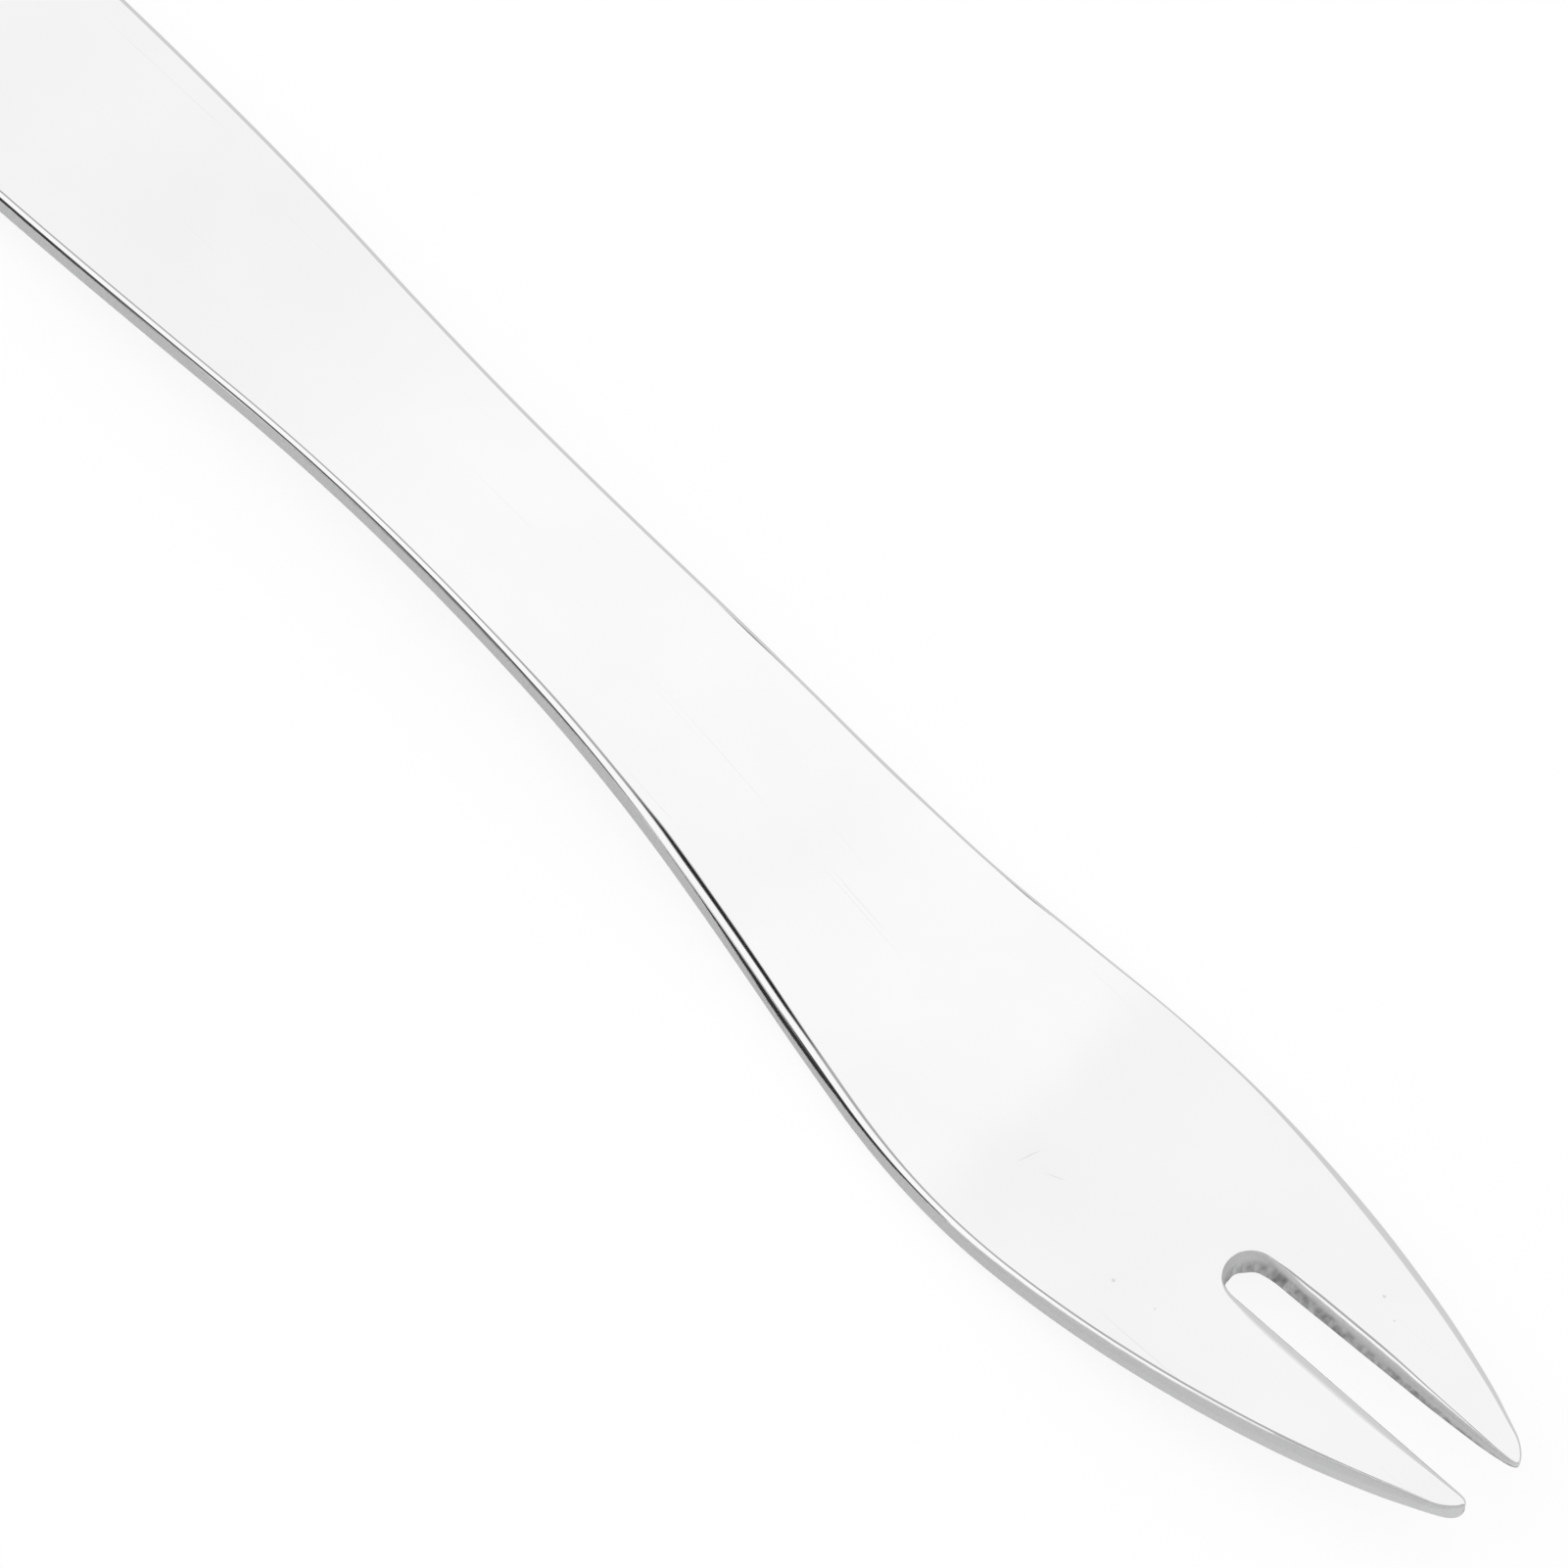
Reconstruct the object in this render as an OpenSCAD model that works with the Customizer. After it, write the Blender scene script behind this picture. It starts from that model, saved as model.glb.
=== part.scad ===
// Fruit fork, stamped from one polished steel sheet and bent in a press.
// It lies as on a table: the back of the head and the end of the handle touch z = 0.
// The length runs along X with the tips at +X, the width along Y, and the faces look up and down Z.

/* [Sheet] */
// Overall length before the fork is tipped onto its resting points
fork_len = 135; // [120:1:150]
// Thickness of the sheet
sheet_t = 1.5; // [1:0.1:2]

/* [Handle] */
// Width of the handle at its waist, the narrowest place
handle_w = 10.8; // [9:0.2:13]
// Width of the handle at its widest, near its end
end_w = 14; // [12:0.2:15]
// Radius of the hollow edge that leads from the waist back to the wide end
waist_r = 175; // [150:5:250]
// Radius of each outer edge of the wide end
end_side_r = 355; // [250:5:400]

/* [Head] */
// Width of the head at its widest
head_w = 18; // [16:0.5:20]
// Radius of each outer edge of the leaf-shaped head
leaf_r = 65; // [55:1:75]
// Radius of the hollow edge that leads from the waist into the head
flare_r = 235; // [150:5:260]

/* [Tines] */
// Depth of the slot, from the tips to its round end
slot_depth = 17.8; // [12:0.2:22]
// Width of the slot between the tips
slot_w = 3; // [2.6:0.1:3.6]
// Width of the slot at its round end
slot_root_w = 2.5; // [2:0.1:2.6]
// Radius of each tip, seen from above
tip_r = 0.65; // [0.5:0.05:0.9]
// Thickness of the tines at their tips
tip_t = 1.1; // [0.8:0.1:1.5]
// Length over which the tines thin towards their tips
thin_len = 14; // [8:1:18]

/* [Bends] */
// Distance from the tips to the crown, which the handle and the neck both fall away from
crown_from_tip = 65.2; // [60:0.1:72]
// Radius of the bend from the crown back along the handle, at the middle of the sheet
bow_r = 265; // [200:5:350]
// Angle by which the handle falls from the crown to its end
handle_drop = 7; // [4:0.5:9]
// Radius of the bend from the crown into the neck, at the middle of the sheet
crown_r = 75; // [50:1:100]
// Angle by which the neck falls from the crown
neck_drop = 9.3; // [6:0.1:11]
// Distance from the tips to where the neck turns up into the head
belly_from_tip = 44.5; // [40:0.1:47]
// Radius of the upward bend, at the middle of the sheet
belly_r = 48; // [38:1:60]
// Angle by which the tines rise, measured from the crown's level
tine_rise = 13; // [8:0.5:16]

/* [Hidden] */
steel = [0.84, 0.85, 0.86];
// Largest gap between an arc and the straight steps that draw it
arc_gap = 0.004;

// Points along an arc, both ends included
function arc_steps(radius, sweep) = ceil(abs(sweep) / (2 * acos(1 - arc_gap / radius)));
function arc(centre, radius, from, to) =
    let (steps = arc_steps(radius, to - from))
    [for (i = [0:steps]) let (a = from + (to - from) * i / steps) centre + radius * [cos(a), sin(a)]];

// Direction from one point to another, in degrees
function bearing(p, q) = atan2(q[1] - p[1], q[0] - p[0]);

// The same points on the -Y side, in the opposite order
function mirrored(points) = [for (i = [len(points) - 1:-1:0]) [points[i][0], -points[i][1]]];

// Slot: two straight sides that open slightly from a round end
root_r = slot_root_w / 2;
root_c = [fork_len - slot_depth + root_r, 0];
slot_angle = atan((slot_w - slot_root_w) / 2 / (slot_depth - root_r));
function slot_half(x) = root_r / cos(slot_angle) + (x - root_c[0]) * tan(slot_angle);

// Tip: a small round that touches the slot's side and the leaf's edge
tip_x = fork_len - tip_r;
tip_c = [tip_x, slot_half(tip_x) + tip_r / cos(slot_angle)];

// Leaf: the outer edge of the head, which touches the tip round from outside
leaf_y = head_w / 2 - leaf_r;
leaf_c = [tip_x - sqrt(pow(leaf_r - tip_r, 2) - pow(tip_c[1] - leaf_y, 2)), leaf_y];

// Run along the fork of a hollow arc and an outer arc that meet and widen it by a given swell
function swell_run(arc_sum, swell) = sqrt(2 * arc_sum * swell - swell * swell);

// Flare: the hollow edge from the waist to the leaf
waist_x = leaf_c[0] - swell_run(flare_r + leaf_r, (head_w - handle_w) / 2);
flare_c = [waist_x, handle_w / 2 + flare_r];

// Wide end: a hollow edge from the waist back to an outer edge, which touches the end round from outside
waist_c = [waist_x, handle_w / 2 + waist_r];
end_side_x = waist_x - swell_run(waist_r + end_side_r, (end_w - handle_w) / 2);
end_side_c = [end_side_x, end_w / 2 - end_side_r];
end_r = (end_side_r * end_w - pow(end_w / 2, 2) - pow(end_side_x, 2))
    / (2 * (end_side_r - end_side_x));
end_c = [end_r, 0];

// Outline of the +Y half, from the end of the handle round the tip to the bottom of the slot
half_outline = concat(
    arc(end_c, end_r, 180, bearing(end_side_c, end_c)),
    arc(end_side_c, end_side_r, bearing(end_side_c, end_c), bearing(end_side_c, waist_c)),
    arc(waist_c, waist_r, 180 + bearing(end_side_c, waist_c), 270),
    arc(flare_c, flare_r, 270, 360 + bearing(flare_c, leaf_c)),
    arc(leaf_c, leaf_r, bearing(leaf_c, flare_c), bearing(leaf_c, tip_c)),
    arc(tip_c, tip_r, bearing(leaf_c, tip_c), slot_angle - 90),
    arc(root_c, root_r, 90 + slot_angle, 180)
);

// Bends, followed along the middle of the sheet with the underside of the crown at z = 0
half_t = sheet_t / 2;
bow_c = [fork_len - crown_from_tip, half_t - bow_r];
handle_start = bow_c + bow_r * [-sin(handle_drop), cos(handle_drop)];
crown_c = [fork_len - crown_from_tip, half_t - crown_r];
neck_start = crown_c + crown_r * [sin(neck_drop), cos(neck_drop)];
neck_len = (fork_len - belly_from_tip - neck_start[0]) / cos(neck_drop);
neck_end = neck_start + neck_len * [cos(neck_drop), -sin(neck_drop)];
belly_c = neck_end + belly_r * [sin(neck_drop), cos(neck_drop)];
tine_start = belly_c + belly_r * [sin(tine_rise), -cos(tine_rise)];
tine_len = (fork_len - tine_start[0]) / cos(tine_rise);

// A point on the straight part of the handle at a given x, above the middle of the sheet by a given amount
function on_handle(x, up) =
    [x, handle_start[1] + (x - handle_start[0]) * tan(handle_drop) + up / cos(handle_drop)];

// A point on a tine: how far along it, and how far above the middle of the sheet
function on_tine(along, up) =
    tine_start + along * [cos(tine_rise), sin(tine_rise)] + up * [-sin(tine_rise), cos(tine_rise)];

// Faces of the bent sheet, which runs on past both ends of the fork
spare = sheet_t;
upper_face = concat(
    [on_handle(-spare, half_t)],
    arc(bow_c, bow_r + half_t, 90 + handle_drop, 90),
    arc(crown_c, crown_r + half_t, 90, 90 - neck_drop),
    arc(belly_c, belly_r - half_t, 270 - neck_drop, 270 + tine_rise),
    [on_tine(tine_len - thin_len, half_t)],
    [on_tine(tine_len, tip_t / 2), on_tine(tine_len + spare, tip_t / 2)]
);
lower_face = concat(
    [on_tine(tine_len + spare, -tip_t / 2), on_tine(tine_len, -tip_t / 2)],
    [on_tine(tine_len - thin_len, -half_t)],
    arc(belly_c, belly_r + half_t, 270 + tine_rise, 270 - neck_drop),
    arc(crown_c, crown_r - half_t, 90 - neck_drop, 90),
    arc(bow_c, bow_r - half_t, 90, 90 + handle_drop),
    [on_handle(-spare, -half_t)]
);

// Resting: tipped about the end of the handle until the back of the head touches the table
end_under = on_handle(0, -half_t);
rest_pitch = asin((belly_r + half_t) / norm(belly_c - end_under)) - bearing(end_under, belly_c);
tip_over = on_tine(tine_len, tip_t / 2);
tip_top = tip_over + (fork_len - tip_over[0]) * [1, tan(tine_rise)];
rest_start = -end_under[1] * sin(rest_pitch);
rest_end = fork_len * cos(rest_pitch) - tip_top[1] * sin(rest_pitch);
rest_mid = (rest_start + rest_end) / 2;
rest_lift = -end_under[1] * cos(rest_pitch);

// The blank seen from above
module blank_plan() {
    polygon(concat(half_outline, mirrored(half_outline)));
}

// The bent sheet seen from the side
module sheet_side() {
    polygon(concat(upper_face, lower_face));
}

module fork() {
    color(steel) translate([-rest_mid, 0, rest_lift]) rotate([0, -rest_pitch, 0]) intersection() {
        translate([0, 0, -head_w]) linear_extrude(3 * head_w) blank_plan();
        translate([0, head_w, 0]) rotate([90, 0, 0]) linear_extrude(2 * head_w) sheet_side();
    }
}

fork();
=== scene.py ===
import math
import bpy
from mathutils import Matrix, Vector


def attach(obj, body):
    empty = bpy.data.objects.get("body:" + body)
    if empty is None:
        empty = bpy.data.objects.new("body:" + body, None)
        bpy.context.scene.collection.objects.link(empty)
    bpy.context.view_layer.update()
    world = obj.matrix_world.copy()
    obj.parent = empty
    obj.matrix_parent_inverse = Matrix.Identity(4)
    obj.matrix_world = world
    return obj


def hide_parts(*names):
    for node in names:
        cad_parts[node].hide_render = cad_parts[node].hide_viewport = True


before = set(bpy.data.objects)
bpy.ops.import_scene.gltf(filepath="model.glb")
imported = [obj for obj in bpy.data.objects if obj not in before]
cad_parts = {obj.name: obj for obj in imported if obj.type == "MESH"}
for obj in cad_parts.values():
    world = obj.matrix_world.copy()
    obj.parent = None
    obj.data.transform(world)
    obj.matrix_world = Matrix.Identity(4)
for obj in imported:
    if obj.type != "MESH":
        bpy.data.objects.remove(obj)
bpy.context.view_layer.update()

mm = 0.001


# Shader wiring
class Wire:
    def __init__(self, tree, socket=None):
        self.tree = tree
        self.socket = socket

    def put(self, target, value):  # a link where value is a wire, a plain setting otherwise
        if isinstance(value, Wire):
            self.tree.links.new(value.socket, target)
        else:
            target.default_value = value

    def node(self, kind, settings=None, values=None, out=0):
        made = self.tree.nodes.new(kind)
        for name, value in (settings or {}).items():
            setattr(made, name, value)
        for name, value in (values or {}).items():
            self.put(made.inputs[name], value)
        return Wire(self.tree, made.outputs[out]) if len(made.outputs) else made

    def math(self, operation, a, b=0.0):
        return self.node("ShaderNodeMath", {"operation": operation}, {0: a, 1: b})

    def __add__(self, other):
        return self.math("ADD", self, other)

    def __radd__(self, other):
        return self.math("ADD", other, self)

    def __sub__(self, other):
        return self.math("SUBTRACT", self, other)

    def __rsub__(self, other):
        return self.math("SUBTRACT", other, self)

    def __mul__(self, other):
        return self.math("MULTIPLY", self, other)

    def __rmul__(self, other):
        return self.math("MULTIPLY", other, self)

    def __truediv__(self, other):
        return self.math("DIVIDE", self, other)

    def __rtruediv__(self, other):
        return self.math("DIVIDE", other, self)

    def smooth(self, start, end):  # 0 before start, 1 after end
        ends = {"Value": self, "From Min": start, "From Max": end}
        return self.node("ShaderNodeMapRange", {"interpolation_type": "SMOOTHSTEP"}, ends)

    def noise(self, vector, scale, detail):
        grain = {"Vector": vector, "Scale": scale, "Detail": detail}
        return self.node("ShaderNodeTexNoise", None, grain)

    def attribute(self, name):
        return self.node("ShaderNodeAttribute", {"attribute_name": name}, None, "Fac")

    def dot(self, direction):
        pair = {0: self, 1: direction}
        return self.node("ShaderNodeVectorMath", {"operation": "DOT_PRODUCT"}, pair, "Value")

    def length(self):
        return self.node("ShaderNodeVectorMath", {"operation": "LENGTH"}, {0: self}, "Value")

    def blend(self, factor, a, b):
        return self.node("ShaderNodeMix", {"data_type": "RGBA"}, {0: factor, 6: a, 7: b}, 2)

    def shade(self, colour, tone):  # the colour times a grey tone
        grey = self.node("ShaderNodeCombineXYZ", None, {"X": tone, "Y": tone, "Z": tone})
        mixing = {"data_type": "RGBA", "blend_type": "MULTIPLY"}
        return self.node("ShaderNodeMix", mixing, {0: 1.0, 6: colour, 7: grey}, 2)


def emptyTree(owner):
    owner.use_nodes = True
    owner.node_tree.nodes.clear()
    return Wire(owner.node_tree)


# Steel finish: each grain is the scale and the detail of a noise
steelLook = {
    "polished": (0.99, 0.992, 0.994, 1.0),
    "satin": (0.7, 0.703, 0.705, 1.0),
    "fracture": (0.13, 0.13, 0.135, 1.0),
    "polishedRoughness": 0.085,
    "satinRoughness": 0.72,
    "wanderGrain": (500.0, 2.0),  # the line where the polish ends wanders a little
    "wanderReach": 0.06,
    "wanderBlur": 0.07,
    "hazeGrain": (90.0, 3.0),
    "hazeDark": 0.08,
    "hazeRough": 0.02,
    "scratchAngles": (12.0, 58.0, -35.0),  # degrees from the length
    "scratchStretch": (60.0, 4200.0, 60.0),
    "scratchGrain": (1.0, 1.0),
    "scratchLimits": (0.74, 0.82),
    "scratchDark": 0.035,
    "scratchRough": 0.05,
    # faint marks on the face: place in mm, degrees from the length, half length, half width, how dark
    "marks": [
        ((38.0, -3.0, 1.8), 73.0, 0.96, 0.05, 0.14),
        ((39.8, -2.9, 2.05), 25.0, 0.72, 0.05, 0.11),
        ((45.9, -5.3, 3.2), 0.0, 0.15, 0.15, 0.2),
        ((48.5, -5.0, 3.7), 0.0, 0.1, 0.1, 0.12),
        ((56.4, 4.1, 5.2), 0.0, 0.16, 0.12, 0.2),
        ((57.7, 3.4, 5.45), 0.0, 0.1, 0.1, 0.14),
    ],
    "markCore": 0.3,  # share of a mark's radius that is fully dark
    "wallStretch": (1000.0, 1000.0, 450.0),  # draws the wall's patterns out downwards
    "streakGrain": (6.0, 3.0),
    "streakTone": (0.93, 0.14),  # darkest, and how much a streak adds
    "streakRough": 0.08,
    "tears": [  # grain, limits and share of the coarse and the fine torn marks
        ((1.5, 1.0), (0.3, 0.72), 0.7),
        ((4.5, 2.0), (0.3, 0.75), 0.3),
    ],
    "tearLift": 1.2,
    "tearLimits": (0.7, 1.3),
    "tearLeast": 0.1,  # a lower share of torn wall fades out
    "tearDark": 0.75,
    "tearDent": 0.6,
    "reliefStrength": 0.35,
    "reliefDepth": 0.03,  # mm
}


def steelFinish(look):
    steel = bpy.data.materials.new("polishedSteel")
    w = emptyTree(steel)
    place = w.node("ShaderNodeTexCoord", None, None, "Object")
    reach, blur = look["wanderReach"], look["wanderBlur"]
    wander = w.noise(place, *look["wanderGrain"]) * (2 * reach) - reach
    satin = (w.attribute("round") - w.attribute("polish") + wander).smooth(-blur, blur)

    haze = w.noise(place, *look["hazeGrain"])
    scratches = 0.0
    for angle in look["scratchAngles"]:
        turned = w.node("ShaderNodeMapping", None, {
            "Vector": place,
            "Rotation": (0.0, 0.0, math.radians(angle)),
            "Scale": look["scratchStretch"],
        })
        scratches = w.noise(turned, *look["scratchGrain"]).smooth(*look["scratchLimits"]) + scratches
    bright = 1.0 - haze * look["hazeDark"] - scratches * look["scratchDark"]
    for at, angle, long, thin, dark in look["marks"]:
        spot = w.node("ShaderNodeMapping", {"vector_type": "TEXTURE"}, {
            "Vector": place,
            "Location": Vector(at) * mm,
            "Rotation": (0.0, 0.0, math.radians(angle)),
            "Scale": (long * mm, thin * mm, mm),
        })
        bright = bright - (1.0 - spot.length().smooth(look["markCore"], 1.0)) * dark
    mirror = w.shade(look["polished"], bright)

    wall = w.node("ShaderNodeMapping", None, {"Vector": place, "Scale": look["wallStretch"]})
    streaks = w.noise(wall, *look["streakGrain"])
    depth = w.attribute("depth")  # -1 at the face, 0 at the top of the wall, 1 at the bottom
    tall = w.attribute("torn")  # share of the wall that is torn, from the bottom
    ragged = 0.0
    for grain, limits, share in look["tears"]:
        ragged = w.noise(wall, *grain).smooth(*limits) * share + ragged
    low = (depth + tall * look["tearLift"]).smooth(*look["tearLimits"])
    torn = ragged * (low * tall.smooth(0.0, look["tearLeast"]))
    darkest, added = look["streakTone"]
    sheared = w.shade(look["satin"], darkest + streaks * added)
    sheared = w.blend(torn * look["tearDark"], sheared, look["fracture"])

    roughPolish = look["polishedRoughness"] + haze * look["hazeRough"] + scratches * look["scratchRough"]
    roughSatin = look["satinRoughness"] + streaks * look["streakRough"]
    relief = w.node("ShaderNodeBump", None, {
        "Strength": look["reliefStrength"],
        "Distance": look["reliefDepth"] * mm,
        "Height": satin * (streaks - torn * look["tearDent"]),
    })
    surface = w.node("ShaderNodeBsdfPrincipled", None, {
        "Base Color": w.blend(satin, mirror, sheared),
        "Metallic": 1.0,
        "Roughness": roughPolish + satin * (roughSatin - roughPolish),
        "Normal": relief,
    })
    w.node("ShaderNodeOutputMaterial", None, {"Surface": surface})
    print("steel finish mixed")
    return steel


# Fork, in millimetres and degrees: x runs from the end of the handle to the tips
forkSize = {
    "length": 135.0,
    "sheet": 1.5,
    "waistWidth": 10.8,
    "waistRadius": 175.0,
    "endWidth": 14.0,
    "endSideRadius": 355.0,
    "headWidth": 18.0,
    "leafRadius": 65.0,
    "flareRadius": 235.0,
    "slotDepth": 17.8,
    "slotWidth": 3.0,
    "slotRootWidth": 2.5,
    "tipRadius": 0.65,
    "tipSheet": 1.1,
    "thinLength": 14.0,
    "crownFromTip": 65.2,
    "bowRadius": 265.0,
    "handleDrop": 7.0,
    "crownRadius": 75.0,
    "neckDrop": 9.3,
    "bellyFromTip": 44.5,
    "bellyRadius": 48.0,
    "tineRise": 13.0,
    # of the +Y and the -Y tine: where each side leaves the plain outline, the end, how blunt each side is
    "tips": {
        1: {"slotFrom": 134.3, "outerFrom": 133.6, "end": (135.0, 1.8), "blunt": (0.18, 0.34)},
        -1: {"slotFrom": 133.7, "outerFrom": 132.9, "end": (134.62, 2.05), "blunt": (0.5, 0.5)},
    },
    "tipPull": 0.55,  # how long each side holds its heading, as a share of the way to the end
    # lean of each tine: stops of (x, sideways shift for each mm of depth)
    "twist": {
        1: [(129, 0.0), (132.8, 0.09), (134, 0.2), (135, 0.3)],
        -1: [(129, 0.0)],
    },
    # stops of (x, value): roll and fall are the rolled edge's width and depth, crisp tightens its start,
    # back and toe are how far the wall's top stands in and its foot stands out, under is the lower round,
    # and polish is how far round the roll the polish reaches, where 1 is the top of the wall
    "edges": {
        "near": {
            "roll": [
                (0, 0.42), (58, 0.38), (64, 0.385), (70, 0.455), (76, 0.505), (78.5, 0.57), (80, 0.64),
                (84, 0.62), (88, 0.6), (92, 0.57), (97, 0.53), (104, 0.43), (108, 0.45), (113, 0.52),
                (119, 0.58), (122, 0.58), (125, 0.56), (129, 0.52), (132, 0.43), (133.6, 0.3),
                (134.6, 0.15),
            ],
            "fall": [
                (0, 0.3), (100, 0.3), (106, 0.34), (113, 0.41), (119, 0.5), (123, 0.5), (128, 0.38),
                (131, 0.3), (134.6, 0.15),
            ],
            "polish": [
                (0, 0.89), (78, 0.9), (82, 1.0), (86, 1.09), (90, 1.24), (94, 1.2), (98, 1.0),
                (100, 0.92), (102, 0.8), (104, 0.68), (108, 0.5), (113, 0.37), (117, 0.32), (121, 0.28),
                (125, 0.23), (129, 0.17), (134, 0.15),
            ],
            "back": [(133.4, 0.0), (134.62, 0.2)],
            "toe": [(133.4, 0.0), (134.62, 0.1)],
            "under": [
                (0, 0.2), (60, 0.3), (69, 0.3), (78, 0.23), (88, 0.19), (98, 0.33), (109, 0.34),
                (119, 0.42), (124, 0.26), (127, 0.12), (131, 0.08), (133, 0.2), (134.6, 0.12),
            ],
        },
        "far": {
            "roll": [
                (0, 0.42), (65, 0.38), (80, 0.34), (85, 0.38), (90, 0.31), (97, 0.3), (105, 0.24),
                (110, 0.3), (115, 0.5), (122, 0.7), (127, 0.66), (130, 0.56), (132, 0.43),
                (133.4, 0.26), (134.8, 0.12),
            ],
            "fall": [(0, 0.3), (110, 0.3), (118, 0.4), (126, 0.35), (134.8, 0.12)],
            "polish": [(0, 0.89), (20, 1.08), (134.8, 1.08)],
            "back": [
                (50, 0.0), (61, 0.03), (75, 0.03), (80, 0.05), (95, 0.06), (100, 0.09), (106, 0.0),
                (112, 0.07), (119, 0.12), (124, 0.08), (128, 0.0), (131, 0.0), (133.5, 0.09), (135, 0.1),
            ],
            "crisp": [(108, 0.0), (113, 0.06), (118, 0.1), (127, 0.1), (131, 0.05), (133, 0.0)],
        },
        "slotNear": {
            "roll": [
                (117.2, 0.08), (118.2, 0.16), (119.5, 0.42), (121.5, 0.57), (125, 0.57), (129.4, 0.36),
                (132.8, 0.22), (134.3, 0.13), (134.8, 0.1),
            ],
            "fall": [
                (117.2, 0.08), (118.45, 0.2), (120, 0.34), (122, 0.42), (127, 0.42), (130, 0.32),
                (134.8, 0.12),
            ],
            "polish": [(117.2, 0.2), (119, 0.22), (121, 0.34), (127, 0.34), (131, 0.28), (134, 0.25)],
            "back": [(117.2, 0.38), (118.45, 0.2), (119.5, 0.1), (121, 0.0), (133.4, 0.0), (135, 0.1)],
            "toe": [(117.2, 0.34), (117.5, 0.38), (118.45, 0.14), (119.3, 0.0)],
        },
        "slotFar": {
            "roll": [
                (117.2, 0.08), (117.7, 0.19), (118.45, 0.42), (120, 0.75), (122, 0.96), (127, 0.94),
                (130, 0.6), (133, 0.28), (134.6, 0.15),
            ],
            "fall": [(117.2, 0.08), (118.45, 0.14), (120, 0.2), (123, 0.23), (130, 0.2), (134.6, 0.12)],
            "polish": [(117.2, 0.2), (117.6, 0.25), (118.2, 0.85), (134.6, 0.85)],
            "back": [(117.2, 0.38), (117.7, 0.35), (118.45, 0.25), (130, 0.2), (134.62, 0.2)],
            "toe": [
                (117.2, 0.34), (117.35, 0.25), (117.7, 0.1), (118.45, 0.0), (133.6, 0.0), (134.6, 0.1),
            ],
            "crisp": [(118.45, 0.0), (120, 0.12), (122, 0.2), (127, 0.2), (130, 0.1), (132, 0.0)],
        },
    },
    "underRadius": 0.12,  # lower round where an edge gives none
    "wallPace": 0.375,  # how fast the count round an edge goes on down the wall
    # share of the slot's wall that is torn: stops of (x, share)
    "tearing": [
        (117.2, 0.35), (118.2, 0.55), (119.2, 1.0), (121, 1.0), (125, 0.85), (129, 0.6), (133, 0.2),
    ],
    "steps": {
        "end": 28,
        "endSide": 50,
        "waist": 20,
        "flare": 56,
        "head": 30,
        "root": 20,
        "slot": 34,
        "tip": 14,
        "roll": 16,
        "wall": 6,
        "under": 5,
        "across": 12,
    },
}


def ease(stops, x):  # smooth curve through the stops, level before the first and after the last
    if x <= stops[0][0]:
        return stops[0][1]
    if x >= stops[-1][0]:
        return stops[-1][1]
    k = max(i for i, stop in enumerate(stops) if stop[0] <= x)

    def climb(i):
        return (stops[i + 1][1] - stops[i][1]) / (stops[i + 1][0] - stops[i][0])

    def slope(i):  # level at peaks, dips and both ends
        if i in (0, len(stops) - 1) or climb(i - 1) * climb(i) <= 0:
            return 0.0
        return 2 * climb(i - 1) * climb(i) / (climb(i - 1) + climb(i))

    run = stops[k + 1][0] - stops[k][0]
    t = (x - stops[k][0]) / run
    level = stops[k][1] + climb(k) * run * t * t * (3 - 2 * t)
    return level + run * t * (1 - t) * (slope(k) * (1 - t) - slope(k + 1) * t)


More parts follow.
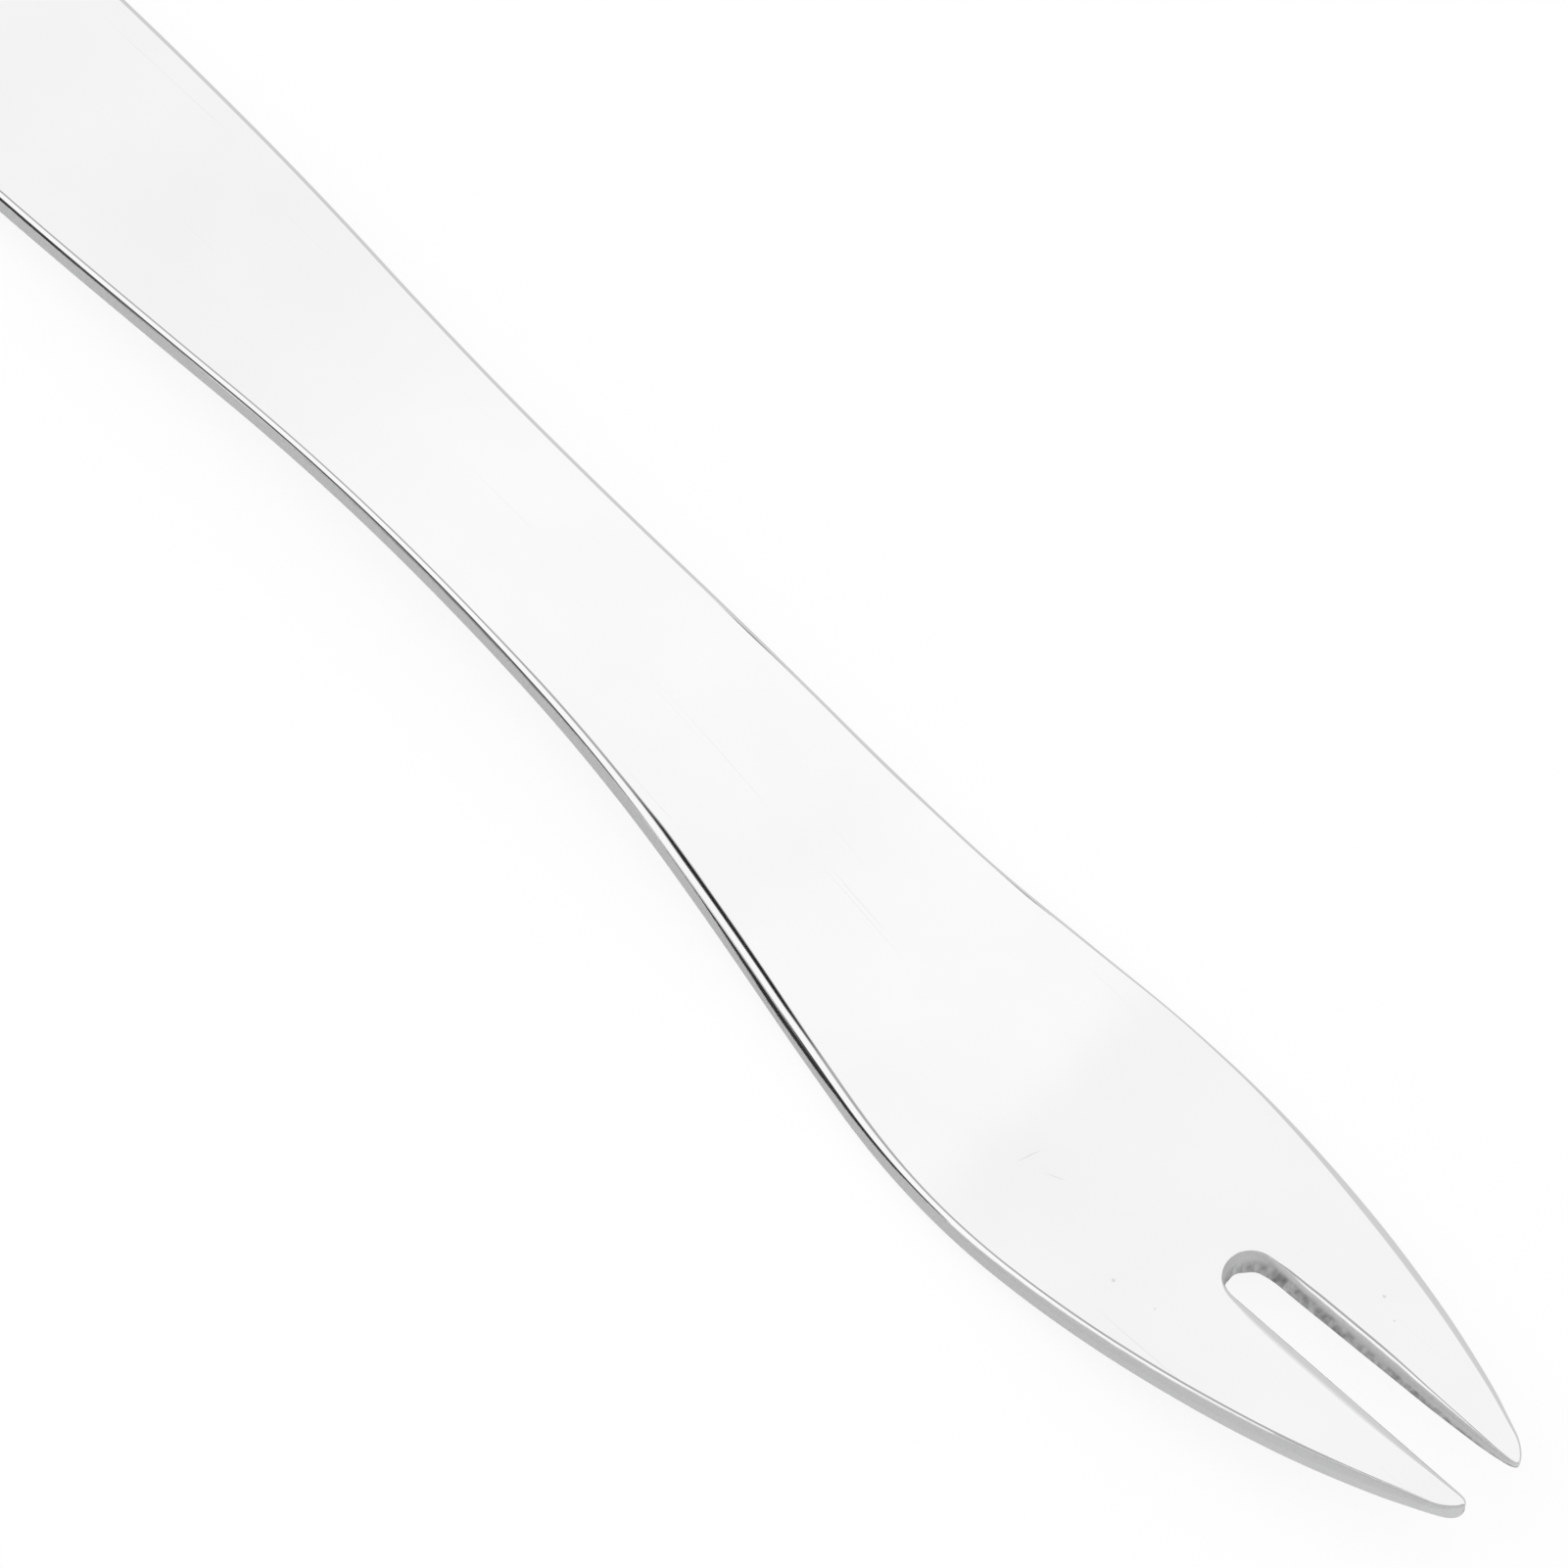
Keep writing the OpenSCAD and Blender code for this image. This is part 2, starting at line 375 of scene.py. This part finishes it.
def forkPlan(size, side):  # one side's outline with normals, the index of its tip, where the slot begins
    length, waist, head = size["length"], size["waistWidth"] / 2, size["headWidth"] / 2
    tipR, leafR, flareR = size["tipRadius"], size["leafRadius"], size["flareRadius"]
    waistR, sideR, end = size["waistRadius"], size["endSideRadius"], size["endWidth"] / 2
    rootR = size["slotRootWidth"] / 2
    slotStart = length - size["slotDepth"]
    rootX = slotStart + rootR
    spread = math.atan((size["slotWidth"] - size["slotRootWidth"]) / 2 / (size["slotDepth"] - rootR))
    tipX = length - tipR
    tipY = (rootR + tipR) / math.cos(spread) + (tipX - rootX) * math.tan(spread)
    leafY = head - leafR
    leafX = tipX - math.sqrt((leafR - tipR) ** 2 - (tipY - leafY) ** 2)

    def swellRun(arcSum, swell):
        return math.sqrt(2 * arcSum * swell - swell ** 2)

    waistX = leafX - swellRun(flareR + leafR, head - waist)
    sideX = waistX - swellRun(waistR + sideR, end - waist)
    endR = (2 * sideR * end - end ** 2 - sideX ** 2) / (2 * (sideR - sideX))
    joinTurn = math.degrees(math.asin((leafX - waistX) / (flareR + leafR)))
    joinX = leafX - leafR * math.sin(math.radians(joinTurn))
    backTurn = math.degrees(math.asin((waistX - sideX) / (waistR + sideR)))
    endTurn = math.degrees(math.atan2(sideR - end, endR - sideX))
    tip = size["tips"][side]
    slotBlunt, outerBlunt = tip["blunt"]
    stepsFor = size["steps"]
    headSteps, slotSteps, tipSteps = stepsFor["head"], stepsFor["slot"], stepsFor["tip"]

    def arc(cx, cy, radius, start, stop, steps, hollow=False):
        made = []
        for i in range(steps + 1):
            a = math.radians(start + (stop - start) * i / steps)
            c, s = math.cos(a), math.sin(a)
            out = -1 if hollow else 1
            made.append((cx + radius * c, cy + radius * s, out * c, out * s))
        return made

    def leafAt(x):
        c = (x - leafX) / leafR
        s = math.sqrt(1 - c * c)
        return (x, leafY + leafR * s, c, s)

    def bend(start, heading, blunt, out):  # round to the tip's end, which it meets square on
        x0, y0 = start
        x3, y3 = tip["end"]
        pull = size["tipPull"] * (x3 - x0) / heading[0]
        x1, y1, x2, y2 = x0 + heading[0] * pull, y0 + heading[1] * pull, x3, y3 + blunt
        made = []
        for i in range(tipSteps + 1):
            t = i / tipSteps
            u = 1 - t
            x = u ** 3 * x0 + 3 * u * u * t * x1 + 3 * u * t * t * x2 + t ** 3 * x3
            y = u ** 3 * y0 + 3 * u * u * t * y1 + 3 * u * t * t * y2 + t ** 3 * y3
            dx = u * u * (x1 - x0) + 2 * u * t * (x2 - x1) + t * t * (x3 - x2)
            dy = u * u * (y1 - y0) + 2 * u * t * (y2 - y1) + t * t * (y3 - y2)
            run = math.hypot(dx, dy) * out
            made.append((x, y, -dy / run, dx / run))
        return made

    root = arc(rootX, 0, rootR, 180, 90 + math.degrees(spread), stepsFor["root"], hollow=True)
    x0, y0 = root[-1][:2]
    x1 = tip["slotFrom"]
    y1 = rootR / math.cos(spread) + (x1 - rootX) * math.tan(spread)
    wall = [(x0 + (x1 - x0) * i / slotSteps, y0 + (y1 - y0) * i / slotSteps,
             math.sin(spread), -math.cos(spread)) for i in range(1, slotSteps)]
    tipSlot = bend((x1, y1), (math.cos(spread), math.sin(spread)), -slotBlunt, -1)
    slotRun = root + wall + tipSlot  # from the slot's round end to the tip
    stretch = (tip["outerFrom"] - slotStart) / (x1 - slotStart)
    beside = [leafAt(slotStart + (q[0] - slotStart) * stretch) for q in root + wall]
    leave = leafAt(tip["outerFrom"])
    tipOuter = bend(leave[:2], (leave[3], -leave[2]), outerBlunt, 1)

    outer = arc(endR, 0, endR, 180, endTurn, stepsFor["end"])
    outer += arc(sideX, end - sideR, sideR, endTurn, 90 - backTurn, stepsFor["endSide"])[1:]
    outer += arc(waistX, waist + waistR, waistR, 270 - backTurn, 270, stepsFor["waist"], hollow=True)[1:]
    outer += arc(waistX, waist + flareR, flareR, 270, 270 + joinTurn, stepsFor["flare"], hollow=True)[1:]
    outer += [leafAt(joinX + (slotStart - joinX) * i / headSteps) for i in range(1, headSteps)]
    columnStart = len(outer)
    outer += beside + tipOuter
    made = outer + slotRun[-2::-1]
    return [(x, y * side, nx, ny * side) for x, y, nx, ny in made], len(outer) - 1, columnStart


def forkSide(size):  # heights of both faces along the bent sheet, and how it tips to rest
    length, half = size["length"], size["sheet"] / 2
    back, drop, rise = (math.radians(size[name]) for name in ("handleDrop", "neckDrop", "tineRise"))
    bowR, crownR, bellyR = size["bowRadius"], size["crownRadius"], size["bellyRadius"]
    crownX = length - size["crownFromTip"]
    bowZ, crownZ = half - bowR, half - crownR
    neckX, neckZ = crownX + crownR * math.sin(drop), crownZ + crownR * math.cos(drop)
    endX = length - size["bellyFromTip"]
    endZ = neckZ - (endX - neckX) * math.tan(drop)
    bellyX, bellyZ = endX + bellyR * math.sin(drop), endZ + bellyR * math.cos(drop)
    tineX, tineZ = bellyX + bellyR * math.sin(rise), bellyZ - bellyR * math.cos(rise)
    tineLength = (length - tineX) / math.cos(rise)

    def onTine(along, up):
        return (tineX + along * math.cos(rise) - up * math.sin(rise),
                tineZ + along * math.sin(rise) + up * math.cos(rise))

    def height(x, up):  # height and slope of the upper (1) or lower (-1) face
        backR, outR, inR = bowR + up * half, crownR + up * half, bellyR - up * half
        thinStart = onTine(tineLength - size["thinLength"], up * half)
        thinEnd = onTine(tineLength, up * size["tipSheet"] / 2)
        bowEnd, crownEnd = crownX - backR * math.sin(back), crownX + outR * math.sin(drop)
        bellyStart, bellyEnd = bellyX - inR * math.sin(drop), bellyX + inR * math.sin(rise)
        if x <= bowEnd:
            return bowZ + backR * math.cos(back) - (bowEnd - x) * math.tan(back), math.tan(back)
        if x <= crownX:
            s = math.sqrt(backR ** 2 - (x - crownX) ** 2)
            return bowZ + s, (crownX - x) / s
        if x <= crownEnd:
            s = math.sqrt(outR ** 2 - (x - crownX) ** 2)
            return crownZ + s, (crownX - x) / s
        if x <= bellyStart:
            return crownZ + outR * math.cos(drop) - (x - crownEnd) * math.tan(drop), -math.tan(drop)
        if x <= bellyEnd:
            s = math.sqrt(inR ** 2 - (x - bellyX) ** 2)
            return bellyZ - s, (x - bellyX) / s
        if x <= thinStart[0]:
            return bellyZ - inR * math.cos(rise) + (x - bellyEnd) * math.tan(rise), math.tan(rise)
        slope = (thinEnd[1] - thinStart[1]) / (thinEnd[0] - thinStart[0])
        return thinStart[1] + (x - thinStart[0]) * slope, slope

    under = height(0.0, -1)[0]
    bellyUp = bellyZ - under
    pitch = math.asin((bellyR + half) / math.hypot(bellyX, bellyUp)) - math.atan2(bellyUp, bellyX)
    overTip = onTine(tineLength, size["tipSheet"] / 2)
    tipTop = overTip[1] + (length - overTip[0]) * math.tan(rise)
    left = -under * math.sin(pitch)
    right = length * math.cos(pitch) - tipTop * math.sin(pitch)
    return height, pitch, Vector(((left + right) / 2, 0.0, under * math.cos(pitch)))


def makeFork(size, finish):
    plans = {}
    for side in (1, -1):
        plans[side], tipIndex, columnStart = forkPlan(size, side)
    height, pitch, restAt = forkSide(size)
    last = len(plans[1]) - 1
    loop = [(i, 1) for i in range(last + 1)] + [(i, -1) for i in range(last - 1, 0, -1)]
    count = len(loop)
    quarter = math.radians(90)
    points, normals, faces = [], [], []
    grades = {"round": [], "polish": [], "depth": [], "torn": []}  # what the finish reads at each point

    def add(x, y, z, normal, about=0.0, polish=1.0, depth=-1.0, torn=0.0):
        points.append((x, y, z))
        normals.append(normal)
        for name, value in (("round", about), ("polish", polish), ("depth", depth), ("torn", torn)):
            grades[name].append(value)
        return len(points) - 1

    def sheetAt(x):
        return height(x, 1)[0] - height(x, -1)[0]

    rims = {}
    for i, side in loop:
        inSlot = i > tipIndex
        x, _, nx, ny = plans[side][i]
        name = ("slotNear" if side > 0 else "slotFar") if inSlot else ("far" if side > 0 else "near")
        edge = {"back": 0.0, "toe": 0.0, "crisp": 0.0, "under": size["underRadius"]}
        edge.update((key, ease(stops, x)) for key, stops in size["edges"][name].items())
        out = (edge["back"] + edge["toe"]) / sheetAt(x)
        # sideways shift for each mm of depth
        edge["shear"] = (out * nx, out * ny + ease(size["twist"][side], x))
        edge["torn"] = ease(size["tearing"], x) if inSlot else 0.0
        rims[i, side] = edge

    # a point inset from the outline: flat and upright are its normal's parts, up is the face z starts from
    def place(i, side, inset, flat, upright, up, depthOf, about, level):
        x, y, nx, ny = plans[side][i]
        edge = rims[i, side]
        x, y = x - (inset + edge["back"]) * nx, y - (inset + edge["back"]) * ny
        z, slope = height(x, up)
        depth, z = depthOf(x, z)
        sx, sy = edge["shear"]
        n = Vector((flat * nx - up * slope * abs(upright), flat * ny, upright))
        n.z += n.x * sx + n.y * sy
        x, y = x + sx * depth, y + sy * depth
        return add(x, y, z, n.normalized(), about, edge["polish"], level, edge["torn"])

    def ring(shape):
        return [shape(i, side) for i, side in loop]

    def rolled(turn):
        s, c = math.sin(turn), math.cos(turn)
        share = turn / quarter

        def shape(i, side):
            a, b, k = (rims[i, side][key] for key in ("roll", "fall", "crisp"))
            inset = a * (1 - s) - k * (1 - s) ** 3
            flat = s / (a - 3 * k * (1 - s) ** 2)

            def depthOf(x, z):
                return b * (1 - c), z - b * (1 - c)

            return place(i, side, inset, flat, c / b, 1, depthOf, share, share - 1)
        return shape

    def wallRound(i, side, level):  # carries on from the roll, more slowly
        x = plans[side][i][0]
        a, b = rims[i, side]["roll"], rims[i, side]["fall"]
        return 1 + size["wallPace"] * level * (sheetAt(x) - b) / (a + b)

    def walled(level):
        def shape(i, side):
            b, r = rims[i, side]["fall"], rims[i, side]["under"]

            def depthOf(x, z):
                high = z - height(x, -1)[0] - b - r
                return b + high * level, z - b - high * level

            return place(i, side, 0.0, 1.0, 0.0, 1, depthOf, wallRound(i, side, level), level)
        return shape

    def underRolled(turn):
        s, c = math.sin(turn), math.cos(turn)

        def shape(i, side):
            r = rims[i, side]["under"]

            def depthOf(x, z):
                return height(x, 1)[0] - z - r * (1 - c), z + r * (1 - c)

            return place(i, side, r * (1 - s), s, -c, -1, depthOf, wallRound(i, side, 1.0) * s, 1.0)
        return shape

    rollSteps, wallSteps, underSteps = (size["steps"][name] for name in ("roll", "wall", "under"))
    rings = [ring(rolled(quarter * k / rollSteps)) for k in range(rollSteps + 1)]
    rings += [ring(walled(k / wallSteps)) for k in range(1, wallSteps)]
    rings += [ring(underRolled(quarter * (1 - k / underSteps))) for k in range(underSteps + 1)]
    for upper, lower in zip(rings, rings[1:]):
        for k in range(count):
            n = (k + 1) % count
            faces.append((upper[n], lower[n], lower[k], upper[k]))

    def across(first, second, steps, up):  # points between two rim points, both included
        row = [first]
        (xa, ya, _), (xb, yb, _) = points[first], points[second]
        for k in range(1, steps):
            x, y = xa + (xb - xa) * k / steps, ya + (yb - ya) * k / steps
            z, slope = height(x, up)
            row.append(add(x, y, z, Vector((-up * slope, 0.0, up)).normalized()))
        return row + [second]

    def fill(rows, up):
        for row, following in zip(rows, rows[1:]):
            for k in range(len(row) - 1):
                a, b, c, d = row[k], following[k], following[k + 1], row[k + 1]
                corners = [v for v, before in zip((a, b, c, d), (d, a, b, c)) if v != before]
                faces.append(tuple(corners if up < 0 else corners[::-1]))

    def cover(rim, up):  # the upper (1) or lower (-1) face, inside its rim
        def at(i, side):
            return rim[i] if side > 0 else rim[count - i]

        steps = size["steps"]["across"]
        half = steps // 2
        middle = rim[last]
        rows = [[rim[0]] * (steps + 1)]
        rows += [across(at(i, 1), at(i, -1), steps, up) for i in range(1, columnStart)]
        rows.append(across(at(columnStart, 1), middle, half, up)
                    + across(middle, at(columnStart, -1), half, up)[1:])
        fill(rows, up)
        for side in (1, -1):
            strips = [rows[-1][:half + 1] if side > 0 else rows[-1][half:][::-1]]
            for k in range(1, tipIndex - columnStart):
                strips.append(across(at(columnStart + k, side), at(last - k, side), half, up))
            strips.append([at(tipIndex, side)] * (half + 1))
            fill(strips, up * side)

    cover(rings[0], 1)
    cover(rings[-1], -1)

    tipped = Matrix.Rotation(-pitch, 3, "Y")
    mesh = bpy.data.meshes.new("forkBlank")
    mesh.from_pydata([(tipped @ Vector(p) - restAt) * mm for p in points], [], faces)
    mesh.polygons.foreach_set("use_smooth", [True] * len(mesh.polygons))
    for name, values in grades.items():
        mesh.attributes.new(name, "FLOAT", "POINT").data.foreach_set("value", values)
    mesh.normals_split_custom_set_from_vertices([tipped @ n for n in normals])
    mesh.materials.append(finish)
    piece = bpy.data.objects.new("forkBlank", mesh)
    bpy.context.scene.collection.objects.link(piece)
    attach(piece, "root")
    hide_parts("fork")
    print("fork made:", len(mesh.vertices), "points,", len(mesh.polygons), "faces")


# Studio: white floor, white surroundings with a few dark cards for the metal to mirror
studioLook = {
    "floorSize": 6.0,  # metres
    "floorColour": (0.95, 0.95, 0.95, 1.0),
    "floorGlow": 0.8,
    "glowColour": (1.0, 1.0, 1.0, 1.0),
    "roomLight": 0.75,
    # azimuth from -Y towards +X, elevation, half width, half height and soft rim in degrees, how bright
    "cards": [
        (106, 58.5, 8.5, 20.5, 5, 0.03),
        (-21, -34, 8.5, 36, 6, 0.03),
        (-16, 12, 9, 15, 6, 0.07),
        (180, 80.5, 60, 8, 4, 0.43),
        (180, 0, 60, 38, 16, 0.65),
        (177, 50, 1, 8.5, 1.5, 0.05),
        (-134, 55, 6, 5, 8, 0.95),
    ],
    "leastAhead": 0.001,  # a heading away from a card counts as far outside it
}


def towards(azimuth, elevation):
    a, e = math.radians(azimuth), math.radians(elevation)
    return Vector((math.sin(a) * math.cos(e), -math.cos(a) * math.cos(e), math.sin(e)))


def makeStudio(look):
    side = look["floorSize"] / 2
    corners = [(-side, -side, 0), (side, -side, 0), (side, side, 0), (-side, side, 0)]
    mesh = bpy.data.meshes.new("floor")
    mesh.from_pydata(corners, [], [(0, 1, 2, 3)])
    floor = bpy.data.objects.new("floor", mesh)
    bpy.context.scene.collection.objects.link(floor)
    floor.visible_glossy = False  # the metal mirrors the white surroundings instead
    paper = bpy.data.materials.new("whitePaper")
    w = emptyTree(paper)
    seen = w.node("ShaderNodeLightPath", None, None, "Is Camera Ray")
    matt = w.node("ShaderNodeBsdfDiffuse", None, {"Color": look["floorColour"]})
    glow = w.node("ShaderNodeEmission", None, {"Color": look["glowColour"], "Strength": 1.0})
    mixed = w.node("ShaderNodeMixShader", None, {0: seen * look["floorGlow"], 1: matt, 2: glow})
    w.node("ShaderNodeOutputMaterial", None, {"Surface": mixed})
    mesh.materials.append(paper)

    world = bpy.data.worlds.new("whiteRoom")
    bpy.context.scene.world = world
    world.cycles.sampling_method = "NONE"
    w = emptyTree(world)
    heading = w.node("ShaderNodeTexCoord", None, None, "Generated")
    tone = 1.0
    for azimuth, elevation, halfWidth, halfHeight, rim, bright in look["cards"]:
        ahead = towards(azimuth, elevation)
        level = towards(azimuth + 90, 0)
        away = w.math("MAXIMUM", heading.dot(ahead), look["leastAhead"])
        inside = 1.0
        for axis, half in ((level, halfWidth), (ahead.cross(level), halfHeight)):
            off = w.math("ABSOLUTE", heading.dot(axis) / away)
            start, end = (math.tan(math.radians(angle)) for angle in (half, half + rim))
            inside = (1.0 - off.smooth(start, end)) * inside
        tone = (1.0 - inside * (1.0 - bright)) * tone
    mirrored = w.node("ShaderNodeLightPath", None, None, "Is Glossy Ray")
    seen = w.node("ShaderNodeLightPath", None, None, "Is Camera Ray")
    room = look["roomLight"]
    strength = room + mirrored * (tone - room) + seen * (1.0 - room)
    back = w.node("ShaderNodeBackground", None, {"Color": look["glowColour"], "Strength": strength})
    w.node("ShaderNodeOutputWorld", None, {"Surface": back})
    print("studio set with", len(look["cards"]), "cards")


# Lamps, in degrees, metres and watts
lampLook = {
    "key": {"azimuth": -60, "elevation": 60, "distance": 0.8, "size": 0.7, "power": 2.0},
    "fill": {"azimuth": 120, "elevation": 50, "distance": 0.9, "size": 0.9, "power": 1.2},
}


def makeLamps(look):
    for name, lamp in look.items():
        data = bpy.data.lights.new(name, "AREA")
        data.size = lamp["size"]
        data.energy = lamp["power"]
        shown = bpy.data.objects.new(name, data)
        away = towards(lamp["azimuth"], lamp["elevation"])
        shown.location = away * lamp["distance"]
        shown.rotation_euler = away.to_track_quat("Z", "Y").to_euler()
        shown.visible_glossy = False
        bpy.context.scene.collection.objects.link(shown)
    print("lamps set:", ", ".join(look))


# Camera, in degrees and millimetres
cameraLook = {
    "azimuth": 16.76,
    "elevation": 64.17,
    "roll": 29.61,
    "aim": (15.12, 0.71, 5.2),
    "distance": 500.0,
    "lens": 218.0,
    "sensor": 36.0,
    "nearest": 10.0,
}


def makeCamera(look):
    back = towards(look["azimuth"], look["elevation"])
    level = Vector((0, 0, 1)).cross(back).normalized()
    upright = back.cross(level)
    roll = math.radians(look["roll"])
    right = level * math.cos(roll) + upright * math.sin(roll)
    turned = Matrix((right, back.cross(right), back)).transposed()
    stand = (Vector(look["aim"]) + back * look["distance"]) * mm
    data = bpy.data.cameras.new("photoCamera")
    data.lens = look["lens"]
    data.sensor_width = look["sensor"]
    data.clip_start = look["nearest"] * mm
    shown = bpy.data.objects.new("photoCamera", data)
    shown.matrix_world = Matrix.Translation(stand) @ turned.to_4x4()
    bpy.context.scene.collection.objects.link(shown)
    bpy.context.scene.camera = shown
    print("camera set")


bpy.context.scene.view_settings.view_transform = "Standard"
makeCamera(cameraLook)
makeFork(forkSize, steelFinish(steelLook))
makeStudio(studioLook)
makeLamps(lampLook)

bpy.context.view_layer.update()
